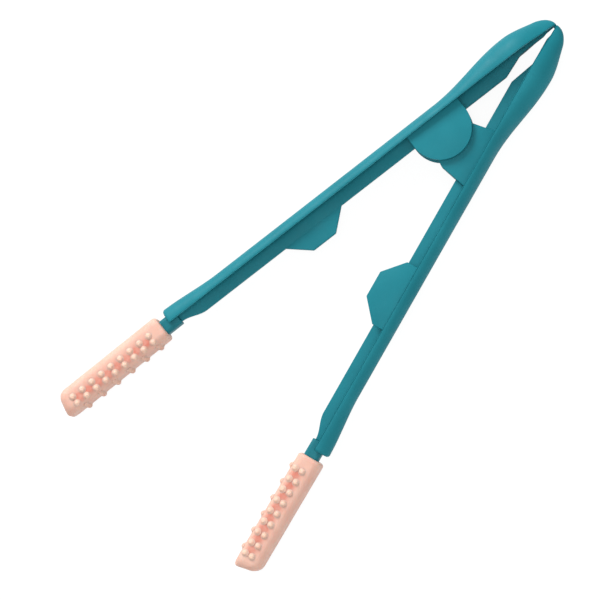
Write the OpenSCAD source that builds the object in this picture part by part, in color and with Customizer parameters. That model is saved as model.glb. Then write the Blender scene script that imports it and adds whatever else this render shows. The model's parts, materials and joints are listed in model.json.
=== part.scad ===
// Spring loaded kitchen tongs, lying on their side with the jaws open.
// Millimetres. +X runs from the tail towards the gripping tips, +Z points up
// out of the surface that the tongs lie on, and the two arms open in the XY plane.
//
// Each arm is drawn in its own frame: x runs along the rim of its back from the point
// where the two rims would cross, y points inward to the other arm, and z = 0 is the
// middle plane. The left arm is the mirror image of the right one, apart from the hinge.

/* [Opening] */
// Angle between the two arms when they rest open
opening = 22.8; // [18:0.1:26]
// Gap between the two tail stops at rest
stop_gap = 0.1; // [0.05:0.05:0.3]

/* [Arm back] */
// Distance from the rims' crossing point to the tail
tail_start = 1.7; // [1:0.1:3]
// Distance from the rims' crossing point to the arm's front end
back_end = 229.4; // [225:0.1:240]
// Depth of the curved back along the arm
back_depth = 5.2; // [4.8:0.1:7]
// Half of the arm's height, from the middle plane to the rim
back_half_height = 6.5; // [6.2:0.1:8]
// Wall thickness of the curved back
wall = 1.6; // [1.2:0.1:1.8]
// Extra depth at the front end, where the back flares out to the sleeve
flare = 1.9; // [1:0.1:2.4]
// Distance over which the back flares
flare_length = 32; // [18:1:40]
// Radius of the outer edge at the back's front end
end_r = 1.5; // [0.5:0.1:1.5]

/* [Handle leaf] */
// Length of the rounded nose at the tail
nose_length = 8; // [6:0.1:9]
// Depth that the back would have at the tail without its rounded nose
nose_depth = 6.4; // [6:0.1:8]
// Greatest depth of the leaf
leaf_depth = 10.3; // [9:0.1:12]
// Place of the leaf's greatest depth
leaf_peak = 26; // [20:1:32]
// Place where the leaf has run out into the arm
leaf_end = 70; // [60:1:75]
// Half of the leaf's height, from the middle plane to the rim
leaf_half_height = 9.4; // [8.8:0.1:10.5]
// Half of the height at the tail, where the leaf narrows
tail_half_height = 3; // [2.6:0.1:5]
// Place where the leaf reaches its full height
leaf_full = 24; // [18:1:30]
// Place where the arm's height starts to taper
taper_start = 40; // [30:1:50]
// Place where the arm's height has tapered off
taper_end = 140; // [120:1:180]

/* [Tail stops] */
// Distance from the tail to its stop
stop_inset = 0.3; // [0.2:0.1:0.5]
// Length of a tail stop
stop_length = 1.5; // [1:0.1:2.5]
// Half of a tail stop's height
stop_half_height = 1.6; // [1:0.1:1.7]

/* [Web] */
// Thickness of the web in the middle plane
web_thickness = 2.2; // [1.6:0.1:2.6]
// How far the web stands inward of the rim
web_reach = 5.4; // [4:0.1:5.6]
// How far the web stands inward of the rim beside the tail
web_tail_reach = 1; // [0.5:0.1:2]
// Place where the web's ramp beside the tail begins
web_ramp_start = 23; // [20:1:28]
// Place where the web's ramp beside the tail ends
web_ramp_end = 35; // [31:1:40]
// Length over which the web runs out at the front
web_taper_length = 12.8; // [10:0.1:20]
// How far the web stands inward of the rim where it meets the core
web_front_reach = 2.4; // [1:0.1:3]

/* [Guide tabs] */
// Middle of the guide tabs
tab_middle = 148.8; // [145:0.1:165]
// Length of a guide tab at its foot
tab_foot = 33; // [28:1:40]
// Length of a guide tab at its top
tab_top = 13; // [8:1:20]
// Height of a guide tab over the web's edge
tab_height = 8.8; // [6:0.1:9.5]
// Thickness of one plate of the forked tab
fork_thickness = 1.5; // [1:0.1:1.5]
// How far the fork's plates lie below the arm's rim
fork_inset = 0.2; // [0.1:0.1:0.4]

/* [Hinge] */
// Place of the hinge pin along the right arm
pivot_along = 74; // [70:0.5:78]
// Distance of the hinge pin inward of the right arm's rim
pivot_inward = 6; // [5.5:0.1:7]
// Radius of the hinge pin
pin_r = 2.5; // [2:0.1:2.6]
// Running clearance round the hinge pin
pin_play = 0.05; // [0.02:0.01:0.1]
// Depth of the pin's seat in each cheek
pin_seat = 1.2; // [0.8:0.1:1.3]
// Radius of the tongue's round hub
hub_r = 7.6; // [7.2:0.1:7.9]
// Thickness of the tongue
tongue_thickness = 7.6; // [7:0.1:7.8]
// Free space round the hub in the web
hub_space = 1; // [0.7:0.1:1.2]
// Radius of the cheeks' round end
cheek_r = 14.9; // [14.6:0.1:15.8]
// Thickness of one cheek
cheek_thickness = 1.85; // [1.6:0.05:1.95]
// Thickness of one hinge washer
washer_thickness = 0.4; // [0.3:0.05:0.45]
// Radius of the hinge washers
washer_r = 7.2; // [6.8:0.1:7.5]
// Radius of the hole in the hinge washers
washer_hole_r = 5.2; // [5:0.1:5.4]
// Gap between the stacked faces of the hinge
face_gap = 0.05; // [0.03:0.01:0.08]

/* [Tongue] */
// Place along the left arm where the tongue's foot begins
tongue_foot_start = 58.4; // [58:0.1:62]
// Place along the left arm where the tongue's foot ends
tongue_foot_end = 89.7; // [87:0.1:92]
// Place of the tongue's front corner along the left arm
tongue_corner_along = 85.8; // [83:0.1:87]
// Distance of the tongue's front corner inward of the rim
tongue_corner_inward = 15.2; // [13:0.1:16]
// Radius of the tongue's front corner
tongue_corner_r = 2; // [1:0.1:3]
// How far the tongue's rear side ends inside the hub's edge
hub_inset = 0.2; // [0.1:0.1:0.5]

/* [Spring] */
// Diameter of the spring's wire
wire_d = 1.2; // [1:0.05:1.25]
// Radius of the coil, to the middle of the wire
coil_r = 3.6; // [3.5:0.05:3.7]
// Number of turns
turns = 3; // [2:1:3]
// Free gap between the turns
turn_gap = 0.06; // [0.02:0.01:0.08]
// Free space round the coil in its pocket
coil_space = 0.4; // [0.3:0.05:0.6]
// Depth that each straight end of the wire reaches into its hole
leg_depth = 1.2; // [0.8:0.1:1.3]
// Clearance round the wire's straight ends
leg_play = 0.1; // [0.05:0.01:0.15]

/* [Cheek screws] */
// Radius of a screw's shank
screw_r = 1.1; // [0.9:0.05:1.2]
// Radius of a screw's head
screw_head_r = 2; // [1.8:0.1:2.2]
// Height of a screw's head
screw_head_height = 1.1; // [0.9:0.05:1.2]
// Depth that a screw reaches into the front cheek
screw_bite = 1.2; // [0.9:0.1:1.4]
// Radius of the posts that carry the cheeks
post_r = 2.4; // [2:0.1:2.6]
// Distance of each post from the hinge pin, along the arm
post_offset = 11.7; // [11.5:0.1:12.2]
// Place of the posts, inward of the rim
post_inward = 3.2; // [2.8:0.1:3.6]

/* [Tip cores] */
// Length of the core's neck that is hidden inside the arm's front end
neck_hidden = 4.7; // [4:0.1:6.4]
// Width of the neck
neck_width = 7.4; // [6.4:0.1:7.6]
// Height of the neck
neck_height = 8; // [7:0.1:8.2]
// Radius of the neck's long edges
neck_edge_r = 2; // [1.6:0.1:2.4]
// Length of the tenon that is hidden behind the rim
tenon_length = 12; // [9:0.5:13]
// Width of the tenon
tenon_width = 2.8; // [2.5:0.1:2.9]
// Height of the tenon
tenon_height = 5.2; // [4.6:0.1:5.4]
// Distance of the tenon's middle outward of the rim
tenon_outward = 1.6; // [1.4:0.1:1.7]
// Distance that the neck lies inward of the sleeve's middle
neck_shift = 0.4; // [0.2:0.1:0.8]
// Radius of the core's retaining pin
core_pin_r = 0.9; // [0.7:0.1:1]
// Clearance between the core and what it fits in
core_fit = 0.1; // [0.05:0.05:0.2]

/* [Sleeves] */
// Length of the core's neck that shows between the arm and the sleeve
neck_shown = 3.8; // [1.6:0.1:6.6]
// Length of a sleeve on its gripping side
sleeve_length = 60.6; // [47:0.1:70]
// Width of a sleeve, across the gripping direction
sleeve_width = 12; // [11.2:0.1:13]
// Height of a sleeve without its nubs
sleeve_height = 16.6; // [15.5:0.1:17.5]
// Wall of a sleeve at its sides
sleeve_wall = 1.3; // [1:0.1:1.5]
// Angle by which each sleeve turns inward from its arm
sleeve_toe = 0.9; // [0:0.1:1.6]
// Distance of the sleeve's middle outward of the rim, at its mouth
sleeve_outward = 0.5; // [0.2:0.1:1]
// Slant of the sleeve's front end
sleeve_slant = 1.2; // [0:0.1:4]
// Length of the mouth that closes round the neck
mouth_length = 2.5; // [2:0.1:4]
// Wall of a sleeve over its flat sides
sleeve_top = 1.5; // [1.2:0.1:1.7]
// Radius of a sleeve's long edges
edge_r = 3.8; // [2:0.1:4.4]
// Radius of the front end, seen from the side
nose_r = 5; // [4:0.1:5.5]
// Radius of the front end's outer corner, seen from above
tip_front_r = 5; // [3.2:0.1:5.2]
// Radius of the front end's gripping corner, seen from above
tip_grip_r = 1.8; // [1.8:0.1:3]
// Radius of the mouth's corners, seen from above
mouth_r = 1.5; // [1.5:0.1:2.5]

/* [Nubs] */
// Height of a nub
nub_height = 1.1; // [0.6:0.1:1.4]
// Radius of a nub's foot
nub_r = 1.4; // [1:0.05:1.5]
// Number of nubs in a row on each flat side
side_nubs = 9; // [5:1:9]
// Distance between nubs in those rows
side_pitch = 5.7; // [4.5:0.1:5.8]
// Distance between the two rows of a flat side
side_rows = 3.7; // [3:0.1:4]
// How far those rows lie towards the gripping side
side_shift = 1.7; // [0.5:0.1:1.8]
// Number of nubs in a row on the gripping side
grip_nubs = 6; // [4:1:6]
// Distance between nubs in those rows
grip_pitch = 8.7; // [6:0.1:9]
// Distance between the rows of the gripping side
grip_rows = 4.6; // [3:0.1:5]

/* [Hidden] */

arm_colour = [0.16, 0.56, 0.62];
core_colour = [0.10, 0.42, 0.48];
sleeve_colour = [0.95, 0.74, 0.68];
steel_colour = [0.72, 0.73, 0.75];
nylon_colour = [0.92, 0.92, 0.90];

fine = 64;
hull_fine = 32;
ring_steps = 14;
nose_step = 15;
leaf_steps = 14;
taper_steps = 5;
flare_steps = 4;
web_steps = 8;
end_step = 30;
past = 1;
tiny = 0.01;

half_opening = opening / 2;
core_start = back_end - neck_hidden;
sleeve_start = back_end + neck_shown;
mid_height = max(leaf_half_height, sleeve_height / 2 + nub_height);
sleeve_end = sleeve_start + sleeve_length;
tip_inward = sleeve_width / 2 - sleeve_outward + sleeve_length * sin(sleeve_toe);
tip_x = sleeve_end * cos(half_opening) + tip_inward * sin(half_opening);
tail_x = tail_start * cos(half_opening);
crossing_x = -(tip_x + tail_x) / 2;

// The hinge pin's place, seen from the left arm
pivot_reach = norm([pivot_along, pivot_inward]);
pivot_turn = opening - atan2(pivot_inward, pivot_along);
left_pivot_along = pivot_reach * cos(pivot_turn);
left_pivot_inward = pivot_reach * sin(pivot_turn);

// Heights in the hinge's stack, from the middle plane outward
tongue_face = tongue_thickness / 2;
washer_face = tongue_face + face_gap;
cheek_face = washer_face + washer_thickness + face_gap;
cheek_top = cheek_face + cheek_thickness;

nose_end = tail_start + nose_length;
// Angles round the nose where the back, its hollow and the web's foot begin
back_turn = 12;
hollow_turn = 45;
web_turn = 60;
flare_start = back_end - flare_length;
tab_reach = web_reach + tab_height;

// Depths of the spring's pocket and coil
coil_height = turns * (wire_d + turn_gap) + wire_d;
pocket_floor = tongue_face - coil_height - coil_space;
coil_low = pocket_floor + coil_space / 2 + wire_d / 2;
coil_high = coil_low + turns * (wire_d + turn_gap);
pocket_r = coil_r + wire_d / 2 + coil_space;

// The coil starts over the tongue's hole, on the left arm's own x axis, and makes whole turns
leg_turn = opening;
wire_sides = 8;
turn_steps = 20;
coil_steps = turns * turn_steps;

// Places of the two posts, from the hinge pin
post_places = [-post_offset, post_offset];

// The retaining pin goes in from the rear, through the rim, and ends level with the tenon
core_pin_top = tenon_height / 2;
core_pin_bottom = wall / 2 - back_half_height;

// 0 before t = 0, 1 after t = 1 and a smooth rise between
function ease(t) = (1 - cos(180 * max(0, min(1, t)))) / 2;

// How full the tail's nose is at place a
function nose_share(a) = max(0, min(1, (nose_end - a) / nose_length));

// Depth of the back at place a, as if the tail were cut off square
function square_depth_at(a) =
    a < leaf_peak ?
        nose_depth + (leaf_depth - nose_depth) * ease((a - tail_start) / (leaf_peak - tail_start)) :
    a < leaf_end ?
        leaf_depth + (back_depth - leaf_depth) * ease((a - leaf_peak) / (leaf_end - leaf_peak)) :
    back_depth + flare * ease((a - flare_start) / flare_length);

// Depth of the curved back at place a, outward of the rim
function depth_at(a) = square_depth_at(a) * sqrt(1 - pow(nose_share(a), 2));

// Half height of the rim at place a
function height_at(a) =
    (tail_half_height
        + (leaf_half_height - tail_half_height) * ease((a - tail_start) / (leaf_full - tail_start))
        + (back_half_height - leaf_half_height) * ease((a - taper_start) / (taper_end - taper_start)))
    * pow(1 - pow(nose_share(a), 4), 0.25);

// How far the rounded front end has fallen away at place a
function end_drop(a) = end_r - sqrt(pow(end_r, 2) - pow(max(0, a - back_end + end_r), 2));

// Places of the sections along the back, closer together where it curves
leaf_places = [for (i = [0 : leaf_steps]) nose_end + (leaf_end - nose_end) * i / leaf_steps];
taper_places = [for (i = [1 : taper_steps]) leaf_end + (taper_end - leaf_end) * i / taper_steps];
flare_places = [for (i = [0 : flare_steps]) flare_start + (flare_length - end_r) * i / flare_steps];
end_places = [for (t = [end_step : end_step : 90]) back_end - end_r + end_r * sin(t)];
function nose_places(first) = [for (t = [first : nose_step : 89]) nose_end - nose_length * cos(t)];

// Half an ellipse that bulges outward, open to the inside
function half_round(depth, half_height) =
    [for (i = [0 : ring_steps])
        let (t = -90 + 180 * i / ring_steps)
        [-depth * cos(t), half_height * sin(t)]];

// A solid through rings of points that stand across the x axis
module loft(places, rings) {
    count = len(rings[0]);
    points = [for (i = [0 : len(places) - 1]) for (p = rings[i]) [places[i], p[0], p[1]]];
    sides = [for (i = [0 : len(places) - 2]) for (k = [0 : count - 1])
        let (n = (k + 1) % count)
        [i * count + k, i * count + n, (i + 1) * count + n, (i + 1) * count + k]];
    first_end = [for (k = [count - 1 : -1 : 0]) k];
    last_end = [for (k = [0 : count - 1]) (len(places) - 1) * count + k];
    polyhedron(points = points, faces = concat([first_end], sides, [last_end]), convexity = 6);
}

// Puts a piece of the right arm, drawn in the arm's own frame, in its place
module on_right() {
    translate([crossing_x, 0, mid_height])
        rotate([0, 0, -half_opening])
            children();
}

// The same for the left arm
module on_left() {
    mirror([0, 1, 0])
        on_right()
            children();
}

// A plate that stands level at the given heights
module plate(low, high) {
    translate([0, 0, low])
        linear_extrude(high - low)
            children();
}

// The curved back, hollow and open to the inside
module back_shell() {
    outer_places = concat(nose_places(back_turn), leaf_places, taper_places, flare_places, end_places);
    inner_places = concat(nose_places(hollow_turn), leaf_places, taper_places,
        flare_places, [back_end + past]);
    difference() {
        loft(outer_places, [for (a = outer_places)
            half_round(depth_at(a) - end_drop(a), height_at(a) - end_drop(a) / 2)]);
        loft(inner_places, [for (a = inner_places)
            let (h = height_at(a) - wall)
            concat([[past, -h]], half_round(depth_at(a) - wall, h), [[past, h]])]);
    }
}

// Outline of the web that stands in the middle plane
module web_outline() {
    foot_places = concat(nose_places(web_turn), leaf_places, taper_places, flare_places);
    foot = [for (a = foot_places) if (a < core_start) [a, wall / 2 - depth_at(a)]];
    web_end = core_start - core_fit;
    front = [for (i = [0 : web_steps])
        let (t = i / web_steps)
        [web_end - web_taper_length * t, web_front_reach + (web_reach - web_front_reach) * ease(t)]];
    polygon(concat(foot, [[web_end, wall / 2 - depth_at(web_end)]], front, [
        [web_ramp_end, web_reach],
        [web_ramp_start, web_tail_reach],
        [nose_end, web_tail_reach],
        [foot[0][0], 0]]));
}

// A guide tab, from its foot line to its top
module tab_outline(foot_line) {
    polygon([
        [tab_middle - tab_foot / 2, foot_line],
        [tab_middle - tab_foot / 2, web_reach],
        [tab_middle - tab_top / 2, tab_reach],
        [tab_middle + tab_top / 2, tab_reach],
        [tab_middle + tab_foot / 2, web_reach],
        [tab_middle + tab_foot / 2, foot_line]]);
}

// The nib at the tail that meets the other arm's nib
module tail_stop() {
    slope = tan(half_opening);
    short = stop_gap / 2;
    first = tail_start + stop_inset;
    last = first + stop_length;
    plate(-stop_half_height, stop_half_height)
        polygon([
            [first, -wall / 2],
            [first, first * slope - short],
            [last, last * slope - short],
            [last, -wall / 2]]);
}

// Round hole for a core's retaining pin, through the far rim and the web
module core_pin_at(low, high, radius) {
    translate([core_start - tenon_length / 2, -tenon_outward, low])
        cylinder(h = high - low, r = radius, $fn = fine);
}

// The parts that both arms share
module arm_blank() {
    back_shell();
    plate(-web_thickness / 2, web_thickness / 2)
        web_outline();
    tail_stop();
}

module right_arm() {
    color(arm_colour)
        on_right()
            difference() {
                union() {
                    arm_blank();
                    plate(-web_thickness / 2, web_thickness / 2)
                        tab_outline(web_reach - past);
                    for (x = post_places)
                        translate([pivot_along + x, post_inward, -cheek_face])
                            cylinder(h = 2 * cheek_face, r = post_r, $fn = fine);
                }
                translate([pivot_along, pivot_inward, -tongue_face])
                    cylinder(h = tongue_thickness, r = hub_r + hub_space, $fn = fine);
                for (x = post_places)
                    translate([pivot_along + x, post_inward, -cheek_face - past])
                        cylinder(h = 2 * cheek_face + 2 * past, r = screw_r, $fn = fine);
                core_pin_at(-back_half_height - past, core_pin_top + past, core_pin_r);
            }
}

// Outline of the tongue, without its hub
module tongue_outline() {
    foot = wall / 2 - back_depth;
    corner = [tongue_corner_along, tongue_corner_inward];
    r = tongue_corner_r;
    hull() {
        polygon([
            [tongue_foot_start, foot],
            [left_pivot_along - hub_r + hub_inset, left_pivot_inward],
            [left_pivot_along + hub_r, left_pivot_inward],
            [tongue_foot_end, foot]]);
        translate(corner - [r, r])
            circle(r = r, $fn = hull_fine);
    }
}

module left_arm() {
    fork_high = back_half_height - fork_inset;
    fork_low = fork_high - fork_thickness;
    leg_floor = pocket_floor - leg_depth - leg_play;
    color(arm_colour)
        on_left()
            difference() {
                union() {
                    arm_blank();
                    plate(fork_low, fork_high)
                        tab_outline(-past);
                    plate(-fork_high, -fork_low)
                        tab_outline(-past);
                    plate(-tongue_face, tongue_face)
                        tongue_outline();
                    translate([left_pivot_along, left_pivot_inward, -tongue_face])
                        cylinder(h = tongue_thickness, r = hub_r, $fn = fine);
                }
                translate([left_pivot_along, left_pivot_inward, -tongue_face - past])
                    cylinder(h = tongue_thickness + past, r = pin_r + pin_play, $fn = fine);
                translate([left_pivot_along, left_pivot_inward, pocket_floor])
                    cylinder(h = tongue_face - pocket_floor + past, r = pocket_r, $fn = fine);
                translate([left_pivot_along + coil_r, left_pivot_inward, leg_floor])
                    cylinder(h = pocket_floor - leg_floor + past, r = wire_d / 2 + leg_play, $fn = fine);
                core_pin_at(-back_half_height - past, core_pin_top + past, core_pin_r);
            }
}

// Outline of a cheek: straight sides from the rim and a round end
module cheek_outline() {
    square_depth = pivot_inward + wall / 2;
    translate([pivot_along, pivot_inward])
        circle(r = cheek_r, $fn = fine);
    translate([pivot_along - cheek_r, -wall / 2])
        square([2 * cheek_r, square_depth]);
}

// A cheek, with its outline cut off where the back's wall begins
module cheek_plate() {
    difference() {
        plate(cheek_face, cheek_top)
            intersection() {
                cheek_outline();
                translate([pivot_along - cheek_r, -wall / 2])
                    square([2 * cheek_r, pivot_inward + cheek_r + wall / 2]);
            }
        translate([pivot_along, pivot_inward, cheek_face - past])
            cylinder(h = past + pin_seat, r = pin_r, $fn = fine);
    }
}

module front_cheek() {
    color(arm_colour)
        on_right()
            difference() {
                cheek_plate();
                for (x = post_places)
                    translate([pivot_along + x, post_inward, cheek_face - past])
                        cylinder(h = past + screw_bite, r = screw_r, $fn = fine);
                spring_leg_hole();
            }
}

// Where the spring's upper leg enters the front cheek
module spring_leg_hole() {
    translate([pivot_along, pivot_inward, cheek_face - past])
        rotate([0, 0, leg_turn])
            translate([coil_r, 0, 0])
                cylinder(h = past + leg_depth + leg_play, r = wire_d / 2 + leg_play, $fn = fine);
}

module rear_cheek() {
    color(arm_colour)
        on_right()
            difference() {
                mirror([0, 0, 1])
                    cheek_plate();
                for (x = post_places)
                    translate([pivot_along + x, post_inward, 0]) {
                        translate([0, 0, -cheek_top - past])
                            cylinder(h = cheek_thickness + 2 * past, r = screw_r, $fn = fine);
                        translate([0, 0, -cheek_top - past])
                            cylinder(h = screw_head_height + past, r = screw_head_r, $fn = fine);
                    }
            }
}

module cheek_screws() {
    color(steel_colour)
        on_right()
            for (x = post_places)
                translate([pivot_along + x, post_inward, -cheek_top]) {
                    cylinder(h = cheek_top + cheek_face + screw_bite, r = screw_r, $fn = fine);
                    cylinder(h = screw_head_height, r = screw_head_r, $fn = fine);
                }
}

module pivot_pin() {
    pin_end = cheek_face + pin_seat;
    color(steel_colour)
        on_right()
            translate([pivot_along, pivot_inward, -pin_end])
                cylinder(h = 2 * pin_end, r = pin_r, $fn = fine);
}

module hinge_washers() {
    color(nylon_colour)
        on_right()
            for (side = [-1, 1])
                translate([pivot_along, pivot_inward, side * (washer_face + washer_thickness / 2)])
                    difference() {
                        cylinder(h = washer_thickness, r = washer_r, center = true, $fn = fine);
                        cylinder(h = washer_thickness + past, r = washer_hole_r, center = true, $fn = fine);
                    }
}

// The middle line of the wire: up the lower leg, round the coil and up the upper leg
wire_line = concat(
    [[leg_turn, pocket_floor - leg_depth]],
    [for (i = [0 : coil_steps])
        [leg_turn + 360 * i / turn_steps, coil_low + (coil_high - coil_low) * i / coil_steps]],
    [[leg_turn, cheek_face + leg_depth]]);
function wire_point(p) = [coil_r * cos(p[0]), coil_r * sin(p[0]), p[1]];

// A ring of points round the wire at step i, square to the way it runs
function wire_ring(i) =
    let (here = wire_point(wire_line[i]))
    let (back = wire_point(wire_line[max(0, i - 1)]))
    let (next = wire_point(wire_line[min(len(wire_line) - 1, i + 1)]))
    let (run = (here - back) / max(norm(here - back), tiny) + (next - here) / max(norm(next - here), tiny))
    let (out = [cos(wire_line[i][0]), sin(wire_line[i][0]), 0])
    let (side = cross(run / norm(run), out))
    [for (k = [0 : wire_sides - 1])
        let (t = 360 * k / wire_sides)
        here + wire_d / 2 * (cos(t) * out + sin(t) * side)];

module torsion_spring() {
    last = len(wire_line) - 1;
    points = [for (i = [0 : last]) for (p = wire_ring(i)) p];
    sides = [for (i = [0 : last - 1]) for (k = [0 : wire_sides - 1])
        let (n = (k + 1) % wire_sides)
        [i * wire_sides + k, i * wire_sides + n, (i + 1) * wire_sides + n, (i + 1) * wire_sides + k]];
    first_end = [for (k = [wire_sides - 1 : -1 : 0]) k];
    last_end = [for (k = [0 : wire_sides - 1]) last * wire_sides + k];
    color(steel_colour)
        on_right()
            translate([pivot_along, pivot_inward, 0])
                polyhedron(points = points, faces = concat([first_end], sides, [last_end]), convexity = 8);
}

// Puts a piece of a tip in its place on its arm: x runs from the sleeve's mouth to its
// front end, and y points to the gripping side
module on_tip() {
    translate([sleeve_start, -sleeve_outward, 0])
        rotate([0, 0, sleeve_toe])
            children();
}

// Outline of a tip seen from above, moved in by the given inset
module tip_plan(inset) {
    w = sleeve_width / 2;
    hull() {
        translate([sleeve_length - tip_grip_r, w - tip_grip_r])
            circle(r = tip_grip_r - inset, $fn = hull_fine);
        translate([sleeve_length - sleeve_slant - tip_front_r, -w + tip_front_r])
            circle(r = tip_front_r - inset, $fn = hull_fine);
        translate([mouth_r, w - mouth_r])
            circle(r = mouth_r - inset, $fn = hull_fine);
        translate([mouth_r, -w + mouth_r])
            circle(r = mouth_r - inset, $fn = hull_fine);
    }
}

// A rectangle with round corners, in the middle of the axes
module round_rect(width, height, r) {
    hull()
        for (x = [-1, 1])
            for (y = [-1, 1])
                translate([x * (width / 2 - r), y * (height / 2 - r)])
                    circle(r = r, $fn = hull_fine);
}

// The rounded body of a tip, moved in by the given insets at its sides and its faces
module tip_body(inset, face_inset) {
    width = sleeve_width - 2 * inset;
    height = sleeve_height - 2 * face_inset;
    intersection() {
        translate([0, 0, -height / 2])
            linear_extrude(height)
                tip_plan(inset);
        rotate([90, 0, 90])
            linear_extrude(sleeve_length)
                round_rect(width, height, edge_r - inset);
        rotate([90, 0, 0])
            linear_extrude(sleeve_width, center = true)
                translate([sleeve_length / 2 - nose_r, 0])
                    round_rect(sleeve_length + 2 * nose_r - 2 * inset, height, nose_r - inset);
    }
}

// Cross-section of the neck, in the tip's own frame
module neck_section(extra) {
    round_rect(neck_width + 2 * extra, neck_height + 2 * extra, neck_edge_r);
}

// The neck's bar, between two places along the tip
module neck_bar(from, to, extra) {
    translate([from, neck_shift, 0])
        rotate([90, 0, 90])
            linear_extrude(to - from)
                neck_section(extra);
}

module tip_core() {
    neck_from = core_start - sleeve_start;
    difference() {
        union() {
            on_tip() {
                intersection() {
                    tip_body(sleeve_wall + core_fit, sleeve_top + core_fit);
                    translate([mouth_length + core_fit, -sleeve_width, -sleeve_height])
                        cube([sleeve_length, 2 * sleeve_width, 2 * sleeve_height]);
                }
                neck_bar(neck_from, mouth_length + past, 0);
            }
            tenon();
        }
        core_pin_at(-back_half_height - past, core_pin_top + past, core_pin_r);
    }
}

// The forked tenon behind the rim, with a slot for the web
module tenon() {
    translate([core_start - tenon_length, -tenon_outward - tenon_width / 2, 0])
        difference() {
            translate([0, 0, -tenon_height / 2])
                cube([tenon_length + past, tenon_width, tenon_height]);
            translate([-past, -past, -web_thickness / 2 - core_fit])
                cube([tenon_length + past, tenon_width + 2 * past, web_thickness + 2 * core_fit]);
        }
}

module core_pin() {
    core_pin_at(core_pin_bottom, core_pin_top, core_pin_r);
}

// One nub: the cap of a ball that stands on a flat side, at the origin
module nub() {
    ball_r = (nub_r * nub_r + nub_height * nub_height) / (2 * nub_height);
    translate([0, 0, nub_height - ball_r])
        sphere(r = ball_r, $fn = fine);
}

// Puts a nub on a flat side, y from the middle, leaning with the long edge where it stands on that
module on_side(y) {
    edge_y = sleeve_width / 2 - edge_r;
    lean = asin(max(0, min(1, (y - edge_y) / edge_r)));
    translate([0, min(y, edge_y), sleeve_height / 2 - edge_r])
        rotate([-lean, 0, 0])
            translate([0, 0, edge_r])
                children();
}

// All the nubs of a sleeve, rows on both flat sides and on the gripping side
module nubs() {
    first = (sleeve_length - (side_nubs - 1) * side_pitch) / 2;
    grip_first = (sleeve_length - (grip_nubs - 1) * grip_pitch) / 2 - nub_r;
    for (i = [0 : side_nubs - 1])
        for (row = [-0.5, 0.5])
            for (side = [0, 1])
                mirror([0, 0, side])
                    translate([first + i * side_pitch, 0, 0])
                        on_side(side_shift + row * side_rows)
                            nub();
    for (i = [0 : grip_nubs - 1])
        for (row = [-1 : 1])
            translate([grip_first + i * grip_pitch, sleeve_width / 2, row * grip_rows])
                rotate([-90, 0, 0])
                    nub();
}

module sleeve() {
    on_tip()
        difference() {
            union() {
                tip_body(0, 0);
                nubs();
            }
            intersection() {
                tip_body(sleeve_wall, sleeve_top);
                translate([mouth_length, -sleeve_width, -sleeve_height])
                    cube([sleeve_length, 2 * sleeve_width, 2 * sleeve_height]);
            }
            neck_bar(-past, mouth_length + past, core_fit);
        }
}

module right_tip_core() {
    color(core_colour)
        on_right()
            tip_core();
}

module left_tip_core() {
    color(core_colour)
        on_left()
            tip_core();
}

module right_core_pin() {
    color(steel_colour)
        on_right()
            core_pin();
}

module left_core_pin() {
    color(steel_colour)
        on_left()
            core_pin();
}

module right_sleeve() {
    color(sleeve_colour)
        on_right()
            sleeve();
}

module left_sleeve() {
    color(sleeve_colour)
        on_left()
            sleeve();
}

right_arm();
left_arm();
front_cheek();
rear_cheek();
cheek_screws();
pivot_pin();
hinge_washers();
torsion_spring();
right_tip_core();
left_tip_core();
right_core_pin();
left_core_pin();
right_sleeve();
left_sleeve();
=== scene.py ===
import json
import math

import bmesh
import bpy
from mathutils import Matrix, Vector


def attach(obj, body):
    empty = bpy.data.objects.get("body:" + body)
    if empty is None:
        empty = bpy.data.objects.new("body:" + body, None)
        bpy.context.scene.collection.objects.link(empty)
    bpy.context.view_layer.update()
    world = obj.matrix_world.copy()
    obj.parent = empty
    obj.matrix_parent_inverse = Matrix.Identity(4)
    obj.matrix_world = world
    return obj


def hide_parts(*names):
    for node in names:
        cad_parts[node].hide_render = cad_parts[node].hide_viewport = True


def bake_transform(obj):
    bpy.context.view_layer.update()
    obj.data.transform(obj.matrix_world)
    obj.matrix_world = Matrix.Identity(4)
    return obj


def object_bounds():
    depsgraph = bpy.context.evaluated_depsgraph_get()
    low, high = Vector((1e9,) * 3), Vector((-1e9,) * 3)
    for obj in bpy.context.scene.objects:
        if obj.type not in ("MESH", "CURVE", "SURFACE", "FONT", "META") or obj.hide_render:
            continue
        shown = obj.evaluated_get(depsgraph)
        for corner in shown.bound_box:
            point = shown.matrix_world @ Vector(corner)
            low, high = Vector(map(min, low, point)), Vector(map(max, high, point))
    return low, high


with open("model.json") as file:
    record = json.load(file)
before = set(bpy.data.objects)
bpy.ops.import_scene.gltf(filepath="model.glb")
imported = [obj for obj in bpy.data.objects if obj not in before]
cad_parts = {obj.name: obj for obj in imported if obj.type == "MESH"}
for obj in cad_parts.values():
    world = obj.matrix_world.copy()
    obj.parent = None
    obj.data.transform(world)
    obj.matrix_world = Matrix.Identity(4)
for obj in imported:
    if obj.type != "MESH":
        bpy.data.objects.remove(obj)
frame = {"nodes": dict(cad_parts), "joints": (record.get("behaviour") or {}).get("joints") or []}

# Spring loaded kitchen tongs, lying open on their side.
#
# Each arm is drawn in its own frame, in millimetres: x runs along the rim of its back from
# the point where the two rims would cross, y points inward to the other arm, and z = 0 is
# the middle plane. on_arm() puts a piece in its place in the shared frame, in metres.

cad_low, cad_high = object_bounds()
MM = 0.001

# ---------------------------------------------------------------- sizes, in millimetres

HALF_OPENING = math.radians(11.4)

# The curved back. Its tail starts 0.01 after the CAD's, so that the finer curve stays in the same box
TAIL_START = 1.71
BACK_END = 229.4
BACK_DEPTH = 5.2
BACK_HALF_HEIGHT = 6.5
WALL = 1.6
FLARE = 1.9
FLARE_LENGTH = 32
END_R = 1.5
HOLLOW_START = 3.7
HOLLOW_RAMP = 8

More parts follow.
